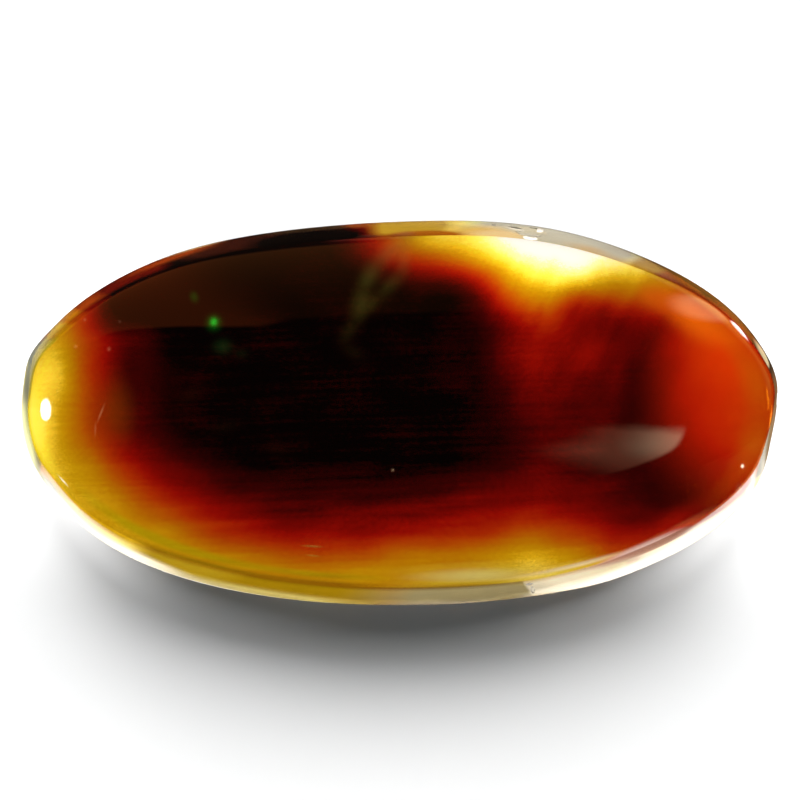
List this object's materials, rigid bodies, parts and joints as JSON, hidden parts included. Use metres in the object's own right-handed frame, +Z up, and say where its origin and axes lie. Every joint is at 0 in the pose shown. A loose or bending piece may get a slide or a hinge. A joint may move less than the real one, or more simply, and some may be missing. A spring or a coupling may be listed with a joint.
{
  "type": "fire agate cabochon",
  "caption": "Long oval polished stone with a high rounded dome, a steep leaning girdle wall and a flat bevelled base; dark red-brown core fading to golden, see-through edges.",
  "frame": {"origin": "under the middle of the stone, in the plane of its flat base", "axes": "+X along the stone, +Y across it towards the side that faces away in the picture, +Z up through the dome"},
  "size_m": [0.02, 0.0102, 0.0047],
  "materials": {
    "fire_agate": "polished"
  },
  "bodies": {
    "root": {"cabochon": "fire_agate"}
  },
  "joints": []
}
